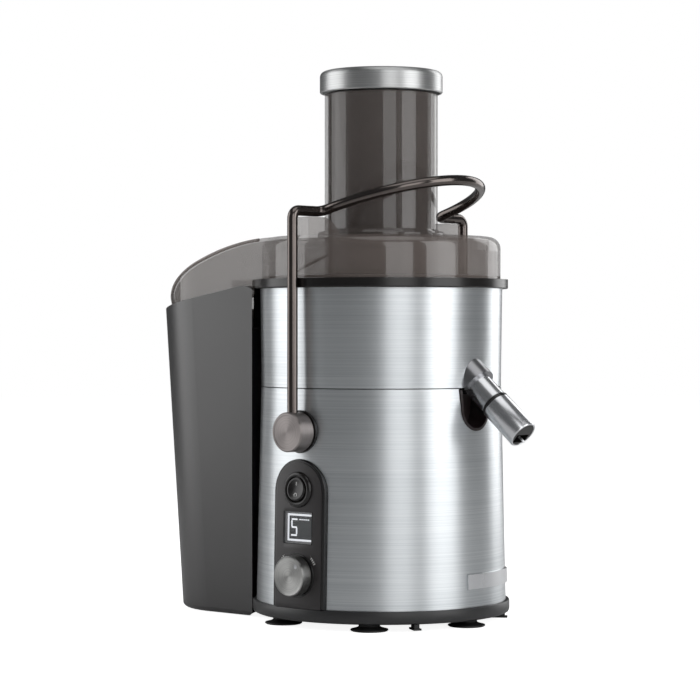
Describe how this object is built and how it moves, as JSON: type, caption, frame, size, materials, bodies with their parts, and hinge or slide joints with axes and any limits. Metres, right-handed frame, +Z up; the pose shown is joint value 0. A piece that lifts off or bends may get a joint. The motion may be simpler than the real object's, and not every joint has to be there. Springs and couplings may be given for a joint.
{
  "type": "centrifugal juicer",
  "caption": "Upright centrifugal juicer with a steel-clad motor base, tall feed chute with pusher, front juice spout, rear pulp bin and a swing-over locking arm.",
  "frame": {"origin": "on the table plane, under the spindle axis of the motor and filter basket", "axes": "+Z up along the spindle, -Y towards the juice spout at the front, +Y towards the pulp bin, -X towards the control panel"},
  "size_m": [0.2226, 0.3571, 0.4315],
  "materials": {
    "steel": "horizontal brushed stainless steel, satin",
    "silver": "spun and satin metal",
    "arm_metal": "dark polished metal",
    "motor_metal": "plain machined steel",
    "copper": "enamelled copper windings and segments",
    "alu": "die cast, as cast",
    "black": "black moulded plastic",
    "dark": "dark grey moulded plastic, satin",
    "bin_grey": "satin dark grey moulded plastic",
    "smoke": "smoked translucent plastic",
    "natural": "light moulded plastic",
    "rubber": "black rubber",
    "display": "dark display window",
    "board": "circuit board laminate"
  },
  "bodies": {
    "machine": {"base_tray": "dark", "suction_feet": "rubber", "cord_gland": "rubber", "cord_cleats": "dark", "motor_skin": "steel", "chassis": "dark", "spout_recess": "dark", "badge_plate": "silver", "control_panel": "dark", "display_lens": "display", "display_module": "natural", "control_board": "board", "speed_encoder": "alu", "switch_bezel": "black", "switch_body": "black", "pivot_bushes": "natural", "pivot_pads": "black", "interlock_switch": "black", "bowl_skin": "steel", "juice_bowl": "black", "bowl_rim": "black", "lid_seal": "rubber", "spout_tube": "steel", "spout_collar": "steel", "spout_seal": "rubber", "lid": "smoke", "feed_chute": "smoke", "stator": "motor_metal", "field_coils": "copper", "motor_can": "motor_metal", "motor_end_lower": "alu", "motor_end_upper": "alu", "bearings": "motor_metal", "brush_holders": "alu", "carbon_brushes": "black", "motor_mounts": "rubber", "motor_screws": "motor_metal"},
    "rotor": {"motor_shaft": "motor_metal", "armature": "motor_metal", "commutator": "copper", "cooling_fan": "natural", "drive_coupling": "black", "basket_hub": "natural", "filter_basket": "steel", "basket_rim": "natural", "cutting_disc": "steel"},
    "arm": {"locking_arm": "arm_metal", "pivot_knobs": "silver", "pivot_pins": "motor_metal", "interlock_cam": "natural"},
    "pusher_body": {"pusher": "dark", "pusher_cap": "silver"},
    "bin": {"pulp_bin": "bin_grey"},
    "dial": {"speed_dial": "silver", "dial_shaft": "motor_metal"},
    "rocker": {"switch_rocker": "black"},
    "sleeve": {"drip_sleeve": "steel", "drip_stop": "black"},
    "plunger": {"interlock_plunger": "natural"}
  },
  "joints": [
    {"name": "spindle", "type": "hinge", "parent": "machine", "child": "rotor", "pos_m": [0, 0, 0.2], "axis": [0, 0, 1], "continuous": true},
    {"name": "arm_swing", "type": "hinge", "parent": "machine", "child": "arm", "pos_m": [0, 0, 0.15], "axis": [1, 0, 0], "range_deg": [0, 100]},
    {"name": "pusher_lift", "type": "slide", "parent": "machine", "child": "pusher_body", "axis": [0, 0, 1], "range_m": [0, 0.2]},
    {"name": "bin_pull", "type": "slide", "parent": "machine", "child": "bin", "axis": [0, 1, 0], "range_m": [0, 0.12]},
    {"name": "dial_turn", "type": "hinge", "parent": "machine", "child": "dial", "pos_m": [-0.09955, 0, 0.04081], "axis": [-0.9998, 0, 0.0222], "range_deg": [-90, 180]},
    {"name": "rocker_tip", "type": "hinge", "parent": "machine", "child": "rocker", "pos_m": [-0.0981, 0, 0.10604], "axis": [0, -1, 0], "range_deg": [0, 14]},
    {"name": "sleeve_turn", "type": "hinge", "parent": "machine", "child": "sleeve", "pos_m": [0, -0.0946, 0.1871], "axis": [0, -0.757, -0.6534], "range_deg": [0, 180]},
    {"name": "plunger_lift", "type": "slide", "parent": "machine", "child": "plunger", "axis": [0, 0, 1], "range_m": [0, 0.0009]}
  ],
  "couplings": [
    {"joint": "plunger_lift", "follows": "arm_swing", "m_per_rad": 0.0005}
  ]
}
